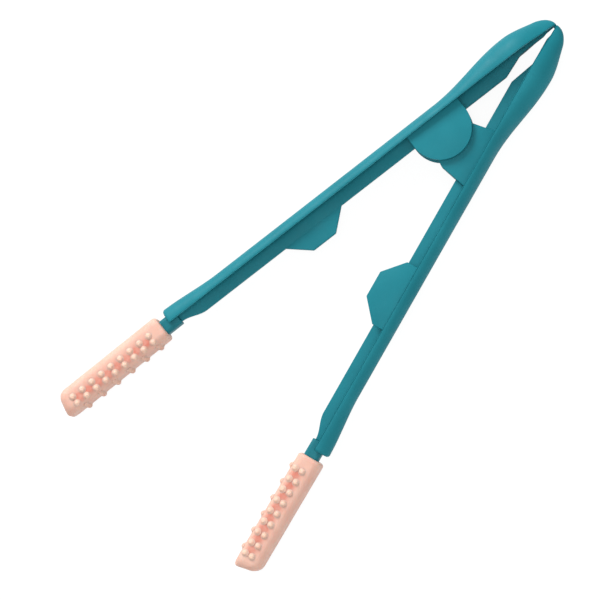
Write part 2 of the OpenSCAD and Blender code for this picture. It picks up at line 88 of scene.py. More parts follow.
# The handle leaf
NOSE_LENGTH = 8
NOSE_DEPTH = 6.4
LEAF_DEPTH = 10.3
LEAF_PEAK = 26
LEAF_END = 70
LEAF_HALF_HEIGHT = 9.4
TAIL_HALF_HEIGHT = 3
LEAF_FULL = 24
TAPER_START = 40
TAPER_END = 140

# The tail stops
STOP_START = 2
STOP_END = 3.5
STOP_HALF_HEIGHT = 1.6
STOP_SHORT = 0.06

# The web and the guide tabs
WEB_HALF = 1.1
WEB_REACH = 5.4
WEB_TAIL_REACH = 1
WEB_RAMP_START = 23
WEB_RAMP_END = 35
WEB_TAPER_LENGTH = 12.8
WEB_FRONT_REACH = 2.4
WEB_STEPS = 16
WEB_TAIL = 6
WEB_FOOT_STEP = 3
TAB_MIDDLE = 148.8
TAB_FOOT = 33
TAB_TOP = 13
TAB_REACH = 14.2
TAB_IN_WEB = 1
TAB_HALF = 0.98 * WEB_HALF
FORK_FOOT = -1
FORK_LOW = 4.8
FORK_HIGH = 6.3

# The hinge
PIVOT_ALONG = 74
PIVOT_INWARD = 6
PIN_BORE_R = 2.55
HUB_R = 7.6
HUB_SPACE = 1
TONGUE_FACE = 3.8
CHEEK_FACE = 4.3
CHEEK_TOP = 6.15
CHEEK_R = 14.9
POST_R = 2.4
POST_OFFSET = 11.7
POST_INWARD = 3.2
SCREW_R = 1.1
SCREW_HEAD_R = 2
SCREW_HEAD_HEIGHT = 1.1
SCREW_BITE = 1.2
SCREW_HEAD_GAP = 0.06
SCREW_NECK = 0.7
RECESS_REACH = 1.1
RECESS_HALF_WIDTH = 0.22
RECESS_DEPTH = 0.6
TONGUE_FOOT = (58.4, 89.7)
TONGUE_CORNER = (85.8, 15.2)
TONGUE_CORNER_R = 2

# The spring
WIRE_R = 0.6
COIL_R = 3.6
TURNS = 3
TURN_GAP = 0.06
COIL_SPACE = 0.4
LEG_DEPTH = 1.2
LEG_BEND = 0.3
LEG_GAP = 0.1
POCKET_R = COIL_R + WIRE_R + COIL_SPACE
COIL_HEIGHT = TURNS * (2 * WIRE_R + TURN_GAP) + 2 * WIRE_R
POCKET_FLOOR = TONGUE_FACE - COIL_HEIGHT - COIL_SPACE
COIL_LOW = POCKET_FLOOR + COIL_SPACE / 2 + WIRE_R
COIL_HIGH = COIL_LOW + TURNS * (2 * WIRE_R + TURN_GAP)

# The tip cores and the sleeves
CORE_START = 224.7
NECK_WIDTH = 7.4
NECK_HEIGHT = 8
NECK_EDGE_R = 2
NECK_SHIFT = 0.4
NECK_IN_SLEEVE = 4
TENON_LENGTH = 12
TENON_WIDTH = 2.8
TENON_HALF_HEIGHT = 2.6
TENON_OUTWARD = 1.6
TENON_IN_NECK = 1
TENON_GAP = 0.1
SLEEVE_START = 233.2
SLEEVE_LENGTH = 60.6
SLEEVE_WIDTH = 12
SLEEVE_HEIGHT = 16.6
SLEEVE_TOE = math.radians(0.9)
SLEEVE_OUTWARD = 0.5
SLEEVE_SLANT = 1.2
MOUTH_R = 1.5
EDGE_R = 3.8
NOSE_R = 5
FRONT_OUTER_R = 5
FRONT_GRIP_R = 1.8
NUB_HEIGHT = 1.1
NUB_R = 1.4
SIDE_NUBS = 9
SIDE_PITCH = 5.7
SIDE_ROWS = 3.7
SIDE_SHIFT = 1.7
GRIP_NUBS = 6
GRIP_PITCH = 8.7
GRIP_ROWS = 4.6
NUB_FOOT = 1.85
NUB_FULLNESS = 1.35
NUB_BURIED = 0.6

# The sleeve's tints: how pale each kind of nub is towards its top, partly its own colour and partly a
# painted highlight, and the painted shade on the skin between the nubs
SIDE_NUB_PALENESS_AND_HIGHLIGHT = 0.7
GRIP_NUB_PALENESS_AND_HIGHLIGHT = 0.2
SPOT_R = 2.1
BAND_SHARE = 0.4
BAND_WIDTH = 1.5
SHADE_START = 1.2
SHADE_RAMP = 0.8

# Small roundings of edges
RIM_R = 0.38
PLATE_R = 0.3
TONGUE_EDGE_R = 0.55
CHEEK_EDGE_R = 0.32
STOP_EDGE_R = 0.1
NECK_END_R = 0.25
TENON_EDGE_R = 0.2
SCREW_HEAD_EDGE_R = 0.25
SCREW_END_R = 0.15

# How far a cutting body goes past what it cuts
PAST = 1

# The hinge pin's place in the frame gives the crossing point of the rims
hinge = Vector(frame["joints"][0]["pos_m"])
pivot_offset = PIVOT_ALONG * math.cos(HALF_OPENING) + PIVOT_INWARD * math.sin(HALF_OPENING)
crossing = Vector((hinge.x - pivot_offset * MM, 0, hinge.z))

# The same pin, seen from the left arm
pivot_reach = math.hypot(PIVOT_ALONG, PIVOT_INWARD)
pivot_turn = 2 * HALF_OPENING - math.atan2(PIVOT_INWARD, PIVOT_ALONG)
LEFT_PIVOT = (pivot_reach * math.cos(pivot_turn), pivot_reach * math.sin(pivot_turn))

NOSE_END = TAIL_START + NOSE_LENGTH
FLARE_START = BACK_END - FLARE_LENGTH


def on_arm(side):
    """The matrix that puts a piece of the right (side 1) or left (side -1) arm in place."""
    right = Matrix.Translation(crossing) @ Matrix.Rotation(-HALF_OPENING, 4, "Z") @ Matrix.Scale(MM, 4)
    return Matrix.Diagonal((1, side, 1, 1)) @ right


# ---------------------------------------------------------------- shapes

def ease(t):
    """Goes smoothly from 0 to 1 as t goes from 0 to 1, and stays level outside that."""
    return (1 - math.cos(math.pi * min(1, max(0, t)))) / 2


def nose_share(a):
    """How far place a lies into the rounded nose: 0 where the nose begins, 1 at the tail's end."""
    return min(1, max(0, (NOSE_END - a) / NOSE_LENGTH))


def depth_at(a):
    """Depth of the curved back at place a, outward of the rim."""
    if a < LEAF_PEAK:
        rise = ease((a - TAIL_START) / (LEAF_PEAK - TAIL_START))
        return (NOSE_DEPTH + (LEAF_DEPTH - NOSE_DEPTH) * rise) * math.sqrt(1 - nose_share(a) ** 2)
    if a < LEAF_END:
        return LEAF_DEPTH + (BACK_DEPTH - LEAF_DEPTH) * ease((a - LEAF_PEAK) / (LEAF_END - LEAF_PEAK))
    return BACK_DEPTH + FLARE * ease((a - FLARE_START) / FLARE_LENGTH)


def height_at(a):
    """Half height of the rim at place a."""
    grown = ease((a - TAIL_START) / (LEAF_FULL - TAIL_START))
    tapered = ease((a - TAPER_START) / (TAPER_END - TAPER_START))
    height = (TAIL_HALF_HEIGHT + (LEAF_HALF_HEIGHT - TAIL_HALF_HEIGHT) * grown
              + (BACK_HALF_HEIGHT - LEAF_HALF_HEIGHT) * tapered)
    return height * (1 - nose_share(a) ** 4) ** 0.25


def drop(radius, past):
    """How far a round corner has fallen away at a distance past its start."""
    return radius - math.sqrt(max(0, radius ** 2 - max(0, past) ** 2))


def arc(centre, radius, first, last, steps):
    """Points on a circle, from angle first to angle last in degrees."""
    angles = [math.radians(first + (last - first) * i / steps) for i in range(steps + 1)]
    return [(centre[0] + radius * math.cos(t), centre[1] + radius * math.sin(t)) for t in angles]


def hull(points):
    """The convex outline round a set of points."""
    points = sorted(set(points))
    halves = []
    for run in (points, points[::-1]):
        half = []
        for p in run:
            while len(half) > 1 and cross(half[-2], half[-1], p) <= 0:
                half.pop()
            half.append(p)
        halves += half[:-1]
    return halves


def cross(a, b, c):
    return (b[0] - a[0]) * (c[1] - a[1]) - (b[1] - a[1]) * (c[0] - a[0])


def loft(rings):
    """A closed mesh through rings that all have the same number of points."""
    bm = bmesh.new()
    rows = [[bm.verts.new(p) for p in ring] for ring in rings]
    count = len(rows[0])
    for row, after in zip(rows, rows[1:]):
        for k in range(count):
            n = (k + 1) % count
            bm.faces.new((row[k], row[n], after[n], after[k]))
    bm.faces.new(rows[0][::-1])
    bm.faces.new(rows[-1])
    bmesh.ops.recalc_face_normals(bm, faces=bm.faces)
    return bm


def round_edges(bm, width, sharper_than=28):
    """Rounds the edges that turn by more than an angle in degrees."""
    limit = math.radians(sharper_than)
    edges = [e for e in bm.edges if len(e.link_faces) == 2 and e.calc_face_angle() > limit]
    bmesh.ops.bevel(bm, geom=edges, offset=width, segments=3, profile=0.5,
                    affect="EDGES", clamp_overlap=True)


def plate(outline, low, high, edge=PLATE_R):
    """A plate that stands level between two heights, with rounded edges."""
    bm = loft([[(x, y, z) for x, y in outline] for z in (low, high)])
    if edge:
        round_edges(bm, edge)
    return bm


def disc(centre, radius, low, high, edge=0, steps=72):
    """A round plate, with sharp edges unless a rounding is given."""
    return plate(arc(centre, radius, 0, 360 - 360 / steps, steps - 1), low, high, edge)


def as_object(bm, name="scratch"):
    mesh = bpy.data.meshes.new(name)
    bm.to_mesh(mesh)
    bm.free()
    piece = bpy.data.objects.new(name, mesh)
    bpy.context.scene.collection.objects.link(piece)
    return piece


def cut(bm, cutters):
    """The mesh less the given cutters."""
    piece = as_object(bm)
    tools = [as_object(c, "cutter") for c in cutters]
    for tool in tools:
        modifier = piece.modifiers.new("cut", "BOOLEAN")
        modifier.operation = "DIFFERENCE"
        modifier.solver = "EXACT"
        modifier.object = tool
    bpy.context.view_layer.update()
    result = bmesh.new()
    result.from_object(piece, bpy.context.evaluated_depsgraph_get())
    for scratch in [piece] + tools:
        bpy.data.objects.remove(scratch)
    return result


def joined(parts):
    """One mesh that holds all the parts."""
    whole = bmesh.new()
    for part in parts:
        mesh = bpy.data.meshes.new("part")
        part.to_mesh(mesh)
        part.free()
        whole.from_mesh(mesh)
        bpy.data.meshes.remove(mesh)
    return whole


def add_piece(name, bm, matrix, body, material, node, sharp=35):
    """Finishes a mesh as a named piece that rides on a body and stands for a CAD node."""
    bm.transform(matrix)
    bmesh.ops.recalc_face_normals(bm, faces=bm.faces)
    piece = as_object(bm, name)
    for face in piece.data.polygons:
        face.use_smooth = True
    piece.data.set_sharp_from_angle(angle=math.radians(sharp))
    piece.data.materials.append(material)
    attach(piece, body)
    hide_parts(node)


# ---------------------------------------------------------------- the arms

LEAST_SECTION = 0.05
LEAST_HOLLOW = 0.02
LEAST_HOLLOW_SHARE = 0.4
MOST_DEPTH_SHARE = 0.4
MOST_WALL_SHARE = 0.45
BACK_STEPS = 36
RIM_STEPS = 4


def back_ring(a):
    """The back's section at place a: out round the back, over a rim, back round the hollow."""
    depth = max(depth_at(a), LEAST_SECTION)
    height = max(height_at(a), LEAST_SECTION)
    hollow = math.sqrt(min(1, max(0, (a - HOLLOW_START) / HOLLOW_RAMP)))
    inner = max((depth - WALL) * hollow, LEAST_HOLLOW)
    inner_height = max(height - WALL, height * LEAST_HOLLOW_SHARE)
    fallen = drop(END_R, a - BACK_END + END_R)
    depth -= fallen
    height -= fallen / 2
    rim = min(RIM_R, depth * MOST_DEPTH_SHARE, (height - inner_height) * MOST_WALL_SHARE)
    inner_rim = min(rim, inner * MOST_WALL_SHARE)
    start = math.asin(rim / depth)
    outer = []
    for i in range(BACK_STEPS + 1):
        t = -math.pi / 2 + start + (math.pi - 2 * start) * i / BACK_STEPS
        outer.append((-depth * math.cos(t), height * math.sin(t)))
    over = []
    for i in range(1, RIM_STEPS + 1):
        t = math.radians(90 * i / RIM_STEPS)
        over.append((-rim * math.cos(t), height - rim * (1 - math.cos(math.pi / 2 - t))))
    lip = []
    for i in range(RIM_STEPS):
        t = math.radians(90 * i / RIM_STEPS)
        lip.append((-inner_rim * (1 - math.cos(t)), inner_height + inner_rim * (1 - math.sin(t))))
    inner_start = math.asin(inner_rim / inner)
    hollow_steps = BACK_STEPS // 2
    hollow_side = []
    for i in range(hollow_steps + 1):
        t = math.pi / 2 - inner_start - (math.pi / 2 - inner_start) * i / hollow_steps
        hollow_side.append((-inner * math.cos(t), inner_height * math.sin(t)))
    upper = over + lip + hollow_side
    lower = [(y, -z) for y, z in upper[:-1]][::-1]
    return [(a, y, z) for y, z in outer + upper + lower]


def back_shell():
    """The hollow back from tail to front, with its sections closer together where it bends more."""
    nose = [NOSE_END - NOSE_LENGTH * math.cos(math.radians(t)) for t in range(4, 88, 4)]
    leaf = [NOSE_END + (LEAF_END - NOSE_END) * i / 50 for i in range(51)]
    middle = [LEAF_END + (FLARE_START - LEAF_END) * i / 60 for i in range(1, 61)]
    front = [FLARE_START + (FLARE_LENGTH - END_R) * i / 20 for i in range(1, 21)]
    rounded = [BACK_END - END_R + END_R * math.sin(math.radians(t)) for t in range(10, 91, 10)]
    return loft([back_ring(a) for a in nose + leaf + middle + front + rounded])


def web_outline():
    """The web seen from above: along the middle of the back's wall, and back along its free edge."""
    foot = [(a, WALL / 2 - depth_at(a)) for a in range(WEB_TAIL, int(CORE_START), WEB_FOOT_STEP)]
    front = [(CORE_START - WEB_TAPER_LENGTH * i / WEB_STEPS,
              WEB_FRONT_REACH + (WEB_REACH - WEB_FRONT_REACH) * ease(i / WEB_STEPS))
             for i in range(WEB_STEPS + 1)]
    end = [(CORE_START, WALL / 2 - depth_at(CORE_START))]
    return foot + end + front + [(WEB_RAMP_END, WEB_REACH), (WEB_RAMP_START, WEB_TAIL_REACH),
                                 (NOSE_END, WEB_TAIL_REACH), (WEB_TAIL, 0)]


def tab_outline(foot_line):
    """A guide tab seen from above, from its foot line up."""
    return [(TAB_MIDDLE - TAB_FOOT / 2, foot_line), (TAB_MIDDLE + TAB_FOOT / 2, foot_line),
            (TAB_MIDDLE + TAB_FOOT / 2, WEB_REACH), (TAB_MIDDLE + TAB_TOP / 2, TAB_REACH),
            (TAB_MIDDLE - TAB_TOP / 2, TAB_REACH), (TAB_MIDDLE - TAB_FOOT / 2, WEB_REACH)]


def tail_stop():
    """The block that meets the other arm's block when the tongs are open."""
    slope = math.tan(HALF_OPENING)
    outline = [(STOP_START, -WALL / 2), (STOP_END, -WALL / 2),
               (STOP_END, STOP_END * slope - STOP_SHORT), (STOP_START, STOP_START * slope - STOP_SHORT)]
    return plate(outline, -STOP_HALF_HEIGHT, STOP_HALF_HEIGHT, STOP_EDGE_R)


def right_arm():
    pocket = disc((PIVOT_ALONG, PIVOT_INWARD), HUB_R + HUB_SPACE, -TONGUE_FACE, TONGUE_FACE)
    web = cut(plate(web_outline(), -WEB_HALF, WEB_HALF), [pocket])
    posts = [disc((PIVOT_ALONG + side * POST_OFFSET, POST_INWARD), POST_R, -CHEEK_FACE, CHEEK_FACE)
             for side in (-1, 1)]
    tab = plate(tab_outline(WEB_REACH - TAB_IN_WEB), -TAB_HALF, TAB_HALF)
    return joined([back_shell(), web, tab, tail_stop()] + posts)


def left_arm():
    web = plate(web_outline(), -WEB_HALF, WEB_HALF)
    outline = hull([(a, WALL / 2 - BACK_DEPTH) for a in TONGUE_FOOT]
                   + arc(LEFT_PIVOT, HUB_R, 0, 355, 71)
                   + arc((TONGUE_CORNER[0] - TONGUE_CORNER_R, TONGUE_CORNER[1] - TONGUE_CORNER_R),
                         TONGUE_CORNER_R, 0, 350, 35))
    bore = disc(LEFT_PIVOT, PIN_BORE_R, -TONGUE_FACE - PAST, TONGUE_FACE + PAST)
    pocket = disc(LEFT_PIVOT, POCKET_R, POCKET_FLOOR, TONGUE_FACE + PAST)
    leg = disc((LEFT_PIVOT[0] + COIL_R, LEFT_PIVOT[1]), WIRE_R + LEG_GAP,
               POCKET_FLOOR - LEG_DEPTH - LEG_GAP, POCKET_FLOOR + PAST, steps=24)
    tongue = cut(plate(outline, -TONGUE_FACE, TONGUE_FACE, TONGUE_EDGE_R), [bore, pocket, leg])
    forks = [plate(tab_outline(FORK_FOOT), low, high)
             for low, high in ((FORK_LOW, FORK_HIGH), (-FORK_HIGH, -FORK_LOW))]
    return joined([back_shell(), web, tongue, tail_stop()] + forks)


def cheek():
    """The front cheek: round at its free edge, with a straight foot on the arm's rim."""
    outline = ([(PIVOT_ALONG - CHEEK_R, -WALL / 2), (PIVOT_ALONG + CHEEK_R, -WALL / 2)]
               + arc((PIVOT_ALONG, PIVOT_INWARD), CHEEK_R, 0, 180, 60))
    return plate(outline, CHEEK_FACE, CHEEK_TOP, CHEEK_EDGE_R)


def rear_cheek():
    """The front cheek mirrored to the rear, with seats for the screw heads."""
    bm = cheek()
    bm.transform(Matrix.Scale(-1, 4, (0, 0, 1)))
    holes = [disc((PIVOT_ALONG + side * POST_OFFSET, POST_INWARD), SCREW_HEAD_R + SCREW_HEAD_GAP,
                  -CHEEK_TOP - PAST, -CHEEK_TOP + SCREW_HEAD_HEIGHT) for side in (-1, 1)]
    bmesh.ops.recalc_face_normals(bm, faces=bm.faces)
    return cut(bm, holes)


# ---------------------------------------------------------------- hinge hardware

def cheek_screws():
    """Two screws, each with a flat head with a rounded edge and a cross recess."""
    parts = []
    for side in (-1, 1):
        centre = (PIVOT_ALONG + side * POST_OFFSET, POST_INWARD)
        head = disc(centre, SCREW_HEAD_R, -CHEEK_TOP, -CHEEK_TOP + SCREW_HEAD_HEIGHT,
                    SCREW_HEAD_EDGE_R, 48)
        slots = []
        for along, across in ((RECESS_REACH, RECESS_HALF_WIDTH), (RECESS_HALF_WIDTH, RECESS_REACH)):
            corners = [(centre[0] + x * along, centre[1] + y * across)
                       for x, y in ((-1, -1), (1, -1), (1, 1), (-1, 1))]
            slots.append(plate(corners, -CHEEK_TOP - PAST, -CHEEK_TOP + RECESS_DEPTH, 0))
        parts.append(cut(head, slots))
        parts.append(disc(centre, SCREW_R, -CHEEK_TOP + SCREW_NECK, CHEEK_FACE + SCREW_BITE,
                          SCREW_END_R, 36))
    return joined(parts)


def torsion_spring():
    """The coil and its two straight ends, as one swept wire round the hinge pin."""
    turn = 2 * HALF_OPENING
    steps = 40 * TURNS
    sides = 16
    line = [(turn, POCKET_FLOOR - LEG_DEPTH), (turn, COIL_LOW - LEG_BEND)]
    for i in range(steps + 1):
        line.append((turn + math.tau * TURNS * i / steps, COIL_LOW + (COIL_HIGH - COIL_LOW) * i / steps))
    line += [(turn, COIL_HIGH + LEG_BEND), (turn, CHEEK_FACE + LEG_DEPTH)]
    centres = [Vector((COIL_R * math.cos(t), COIL_R * math.sin(t), z)) for t, z in line]
    rings = []
    for i, here in enumerate(centres):
        run = (centres[min(i + 1, len(centres) - 1)] - centres[max(i - 1, 0)]).normalized()
        out = Vector((math.cos(line[i][0]), math.sin(line[i][0]), 0))
        across = run.cross(out).normalized()
        rings.append([here + WIRE_R * (math.cos(k * math.tau / sides) * out
                                       + math.sin(k * math.tau / sides) * across)
                      for k in range(sides)])
    bm = loft(rings)
    bm.transform(Matrix.Translation((PIVOT_ALONG, PIVOT_INWARD, 0)))
    return bm


# ---------------------------------------------------------------- tips

ON_TIP = Matrix.Translation((SLEEVE_START, -SLEEVE_OUTWARD, 0)) @ Matrix.Rotation(SLEEVE_TOE, 4, "Z")


MOST_CORNER_SHARE = 0.96
CORNER_STEPS = 12


def rounded_section(low, high, half_height, radius, flat_steps=2):
    """A rectangle with round corners in the YZ plane, always with the same number of points."""
    middle = (low + high) / 2
    half = (high - low) / 2
    radius = min(radius, half * MOST_CORNER_SHARE, half_height * MOST_CORNER_SHARE)
    corners = []
    for corner, (y, z) in enumerate(((1, 1), (-1, 1), (-1, -1), (1, -1))):
        centre = (middle + y * (half - radius), z * (half_height - radius))
        corners.append(arc(centre, radius, 90 * corner, 90 * corner + 90, CORNER_STEPS))
    points = []
    for corner, after in zip(corners, corners[1:] + corners[:1]):
        points += corner
        (y0, z0), (y1, z1) = corner[-1], after[0]
        points += [(y0 + (y1 - y0) * i / flat_steps, z0 + (z1 - z0) * i / flat_steps)
                   for i in range(1, flat_steps)]
    return points


# The front end seen from above: two round corners and the slanted line that touches both
OUTER_CORNER = Vector((SLEEVE_LENGTH - SLEEVE_SLANT - FRONT_OUTER_R, FRONT_OUTER_R - SLEEVE_WIDTH / 2))
GRIP_CORNER = Vector((SLEEVE_LENGTH - FRONT_GRIP_R, SLEEVE_WIDTH / 2 - FRONT_GRIP_R))
corner_step = GRIP_CORNER - OUTER_CORNER
slant_turn = (math.atan2(corner_step.y, corner_step.x)
              - math.acos((FRONT_OUTER_R - FRONT_GRIP_R) / corner_step.length))
slant_normal = Vector((math.cos(slant_turn), math.sin(slant_turn)))
SLANT_START = OUTER_CORNER + FRONT_OUTER_R * slant_normal
SLANT_END = GRIP_CORNER + FRONT_GRIP_R * slant_normal


def sleeve_edges(x):
    """The sleeve's lowest and highest y and its half height at place x."""
    half = SLEEVE_WIDTH / 2
    mouth = drop(MOUTH_R, MOUTH_R - x)
    high = half - mouth - drop(FRONT_GRIP_R, x - GRIP_CORNER.x)
    low = mouth - half + drop(FRONT_OUTER_R, x - OUTER_CORNER.x)
    if x > SLANT_END.x:
        low = GRIP_CORNER.y - math.sqrt(max(0, FRONT_GRIP_R ** 2 - (x - GRIP_CORNER.x) ** 2))
    elif x > SLANT_START.x:
        share = (x - SLANT_START.x) / (SLANT_END.x - SLANT_START.x)
        low = SLANT_START.y + (SLANT_END.y - SLANT_START.y) * share
    half_height = SLEEVE_HEIGHT / 2 - mouth - drop(NOSE_R, x - (SLEEVE_LENGTH - NOSE_R))
    return low, high, half_height


def sleeve_skin():
    """The sleeve without its nubs, from the round mouth to the slanted front end."""
    mouth = [MOUTH_R * (1 - math.cos(math.radians(t))) for t in range(0, 90, 15)]
    front_start = OUTER_CORNER.x
    straight = [MOUTH_R + (front_start - MOUTH_R) * i / 90 for i in range(91)]
    front = [front_start + (SLEEVE_LENGTH - front_start) * math.sin(math.radians(t))
             for t in range(4, 88, 3)]
    rings = []
    for x in mouth + straight + front:
        low, high, half_height = sleeve_edges(x)
        rings.append([(x, y, z) for y, z in rounded_section(low, high, half_height, EDGE_R, 10)])
    return loft(rings)


def set_tone(bm, tone_at):
    """Stores two tints on each vertex: the cream of the nub tops, partly a painted highlight, and the
    salmon painted shade between the nubs.
    """
    layer = bm.verts.layers.float_color.new("tone")
    for vert in bm.verts:
        vert[layer] = (*tone_at(vert.co), 0, 1)


def nub(matrix, paleness_and_highlight):
    """A soft bell-shaped nub with a wide foot, standing on a surface at the origin."""
    steps = 14
    sides = 24
    top_r = 0.02
    profile = [(1, -NUB_BURIED)]
    for i in range(steps):
        profile.append((1 - i / steps, NUB_HEIGHT * ease(NUB_FULLNESS * i / steps)))
    profile.append((top_r, NUB_HEIGHT))
    turns = [k * math.tau / sides for k in range(sides)]
    rings = [[(r * NUB_FOOT * math.cos(t), r * NUB_FOOT * math.sin(t), z) for t in turns]
             for r, z in profile]
    bm = loft(rings)
    # Paler towards the nub's top: partly the nub's own colour, partly a painted highlight
    set_tone(bm, lambda co: (paleness_and_highlight * ease(co.z / NUB_HEIGHT), 0))
    bm.transform(matrix)
    return bm


def on_side(x, y):
    """Stands a nub on a flat side, leaning with the long edge where it stands on that."""
    edge_y = SLEEVE_WIDTH / 2 - EDGE_R
    lean = math.asin(max(0, (y - edge_y) / EDGE_R))
    return (Matrix.Translation((x, min(y, edge_y), SLEEVE_HEIGHT / 2 - EDGE_R))
            @ Matrix.Rotation(-lean, 4, "X") @ Matrix.Translation((0, 0, EDGE_R)))


SIDE_FIRST = (SLEEVE_LENGTH - (SIDE_NUBS - 1) * SIDE_PITCH) / 2
GRIP_FIRST = (SLEEVE_LENGTH - (GRIP_NUBS - 1) * GRIP_PITCH) / 2 - NUB_R


def painted_shade_at(co):
    """Painted shade on the skin, in salmon: strongest in the middle of each four nubs of a flat side."""
    step = round((co.x - SIDE_FIRST) / SIDE_PITCH - 0.5)
    middle = SIDE_FIRST + (min(SIDE_NUBS - 2, max(0, step)) + 0.5) * SIDE_PITCH
    across = (co.y - SIDE_SHIFT) / SPOT_R
    spot = math.exp(-((co.x - middle) / SPOT_R) ** 2 - across ** 2)
    past_rows = max(0, abs(co.x - SLEEVE_LENGTH / 2) - (SIDE_NUBS - 1) * SIDE_PITCH / 2)
    band = BAND_SHARE * math.exp(-(across / BAND_WIDTH) ** 2 - past_rows ** 2)
    on_flat = ease((abs(co.z) - SLEEVE_HEIGHT / 2 + SHADE_START) / SHADE_RAMP)
    return 0, min(1, spot + band) * on_flat


def sleeve():
    """The skin with two rows of nubs on each flat side and three rows on the gripping side."""
    skin = sleeve_skin()
    set_tone(skin, painted_shade_at)
    parts = [skin]
    for side in (1, -1):
        mirrored = Matrix.Diagonal((1, 1, side, 1))
        for i in range(SIDE_NUBS):
            for row in (-0.5, 0.5):
                place = on_side(SIDE_FIRST + i * SIDE_PITCH, SIDE_SHIFT + row * SIDE_ROWS)
                parts.append(nub(mirrored @ place, SIDE_NUB_PALENESS_AND_HIGHLIGHT))
    for i in range(GRIP_NUBS):
        for row in (-1, 0, 1):
            place = Matrix.Translation((GRIP_FIRST + i * GRIP_PITCH, SLEEVE_WIDTH / 2, row * GRIP_ROWS))
            parts.append(nub(place @ Matrix.Rotation(-math.pi / 2, 4, "X"), GRIP_NUB_PALENESS_AND_HIGHLIGHT))
    bm = joined(parts)
    bm.transform(ON_TIP)
    return bm


def tip_core():
    """The neck between the arm and the sleeve, and the forked tenon that holds it behind the rim."""
    half = NECK_WIDTH / 2
    section = rounded_section(-half, half, NECK_HEIGHT / 2, NECK_EDGE_R)
    neck = loft([[(x, NECK_SHIFT + y, z) for y, z in section]
                 for x in (CORE_START - SLEEVE_START, NECK_IN_SLEEVE)])
    round_edges(neck, NECK_END_R, 40)
    neck.transform(ON_TIP)
    low, high = -TENON_OUTWARD - TENON_WIDTH / 2, -TENON_OUTWARD + TENON_WIDTH / 2
    back, front = CORE_START - TENON_LENGTH, CORE_START + TENON_IN_NECK
    outline = [(back, low), (front, low), (front, high), (back, high)]
    prongs = [plate(outline, WEB_HALF + TENON_GAP, TENON_HALF_HEIGHT, TENON_EDGE_R),
              plate(outline, -TENON_HALF_HEIGHT, -WEB_HALF - TENON_GAP, TENON_EDGE_R)]
    return joined([neck] + prongs)


# ---------------------------------------------------------------- materials

def srgb(r, g, b):
    """A colour written in 0 to 255, as the shader wants it."""
    def linear(c):
        c /= 255
        return c / 12.92 if c <= 0.04045 else ((c + 0.055) / 1.055) ** 2.4
    return (linear(r), linear(g), linear(b), 1)


class Nodes:
    """Short calls for building a material's nodes."""

    def __init__(self, name):
        self.material = bpy.data.materials.new(name)
        self.material.use_nodes = True
        self.tree = self.material.node_tree
        self.shader = self.tree.nodes["Principled BSDF"]
        self.coords = self.add("ShaderNodeTexCoord").outputs["Object"]

    def add(self, kind, **values):
        node = self.tree.nodes.new(kind)
        for key, value in values.items():
            setattr(node, key, value)
        return node

    def link(self, output, node, socket):
        self.tree.links.new(output, node.inputs[socket])

    def noise(self, scale, detail, stretch=(1, 1, 1)):
        """Noise that rides on the piece. A stretch below 1 draws it out along that axis."""
        mapping = self.add("ShaderNodeMapping")
        mapping.inputs["Scale"].default_value = stretch
        self.link(self.coords, mapping, "Vector")
        texture = self.add("ShaderNodeTexNoise")
        texture.inputs["Scale"].default_value = scale
        texture.inputs["Detail"].default_value = detail
        self.link(mapping.outputs["Vector"], texture, "Vector")
        return texture.outputs["Fac"]

    def ramp(self, noise, low, high):
        """Spreads the middle of a noise's range over low to high."""
        node = self.add("ShaderNodeMapRange")
        node.inputs["From Min"].default_value = 0.3
        node.inputs["From Max"].default_value = 0.7
        node.inputs["To Min"].default_value = low
        node.inputs["To Max"].default_value = high
        self.link(noise, node, "Value")
        return node.outputs["Result"]

    def mix(self, factor, first, second):
        """A blend of two colours, each given as a value or as a socket."""
        node = self.add("ShaderNodeMix", data_type="RGBA")
        self.link(factor, node, "Factor")
        for socket, colour in ((6, first), (7, second)):
            if isinstance(colour, tuple):
                node.inputs[socket].default_value = colour
            else:
                self.tree.links.new(colour, node.inputs[socket])
        return node.outputs[2]

    def bump(self, layers):
        """Bumps on top of each other, from (height, strength, depth in metres)."""
        normal = None
        for height, strength, depth in layers:
            node = self.add("ShaderNodeBump")
            node.inputs["Strength"].default_value = strength
            node.inputs["Distance"].default_value = depth
            self.link(height, node, "Height")
            if normal is not None:
                self.link(normal, node, "Normal")
            normal = node.outputs["Normal"]
        self.link(normal, self.shader, "Normal")


def moulded_plastic(name, colour, darker, roughness):
    """Satin moulded plastic: a fine spark-eroded grain, faint flow marks and soft handling wear."""
    n = Nodes(name)
    clouds = n.noise(55, 4)
    n.link(n.mix(n.ramp(clouds, 0, 1), colour, darker), n.shader, "Base Color")
    handling = n.noise(240, 5, (1, 1, 0.6))
    n.link(n.ramp(handling, roughness - 0.05, roughness + 0.08), n.shader, "Roughness")
    flow = n.noise(30, 2, (0.25, 1, 1))
    grain = n.noise(5200, 2)
    n.bump([(flow, 0.12, 0.0003), (grain, 0.10, 0.00003)])
    n.shader.inputs["Specular IOR Level"].default_value = 0.15
    return n.material


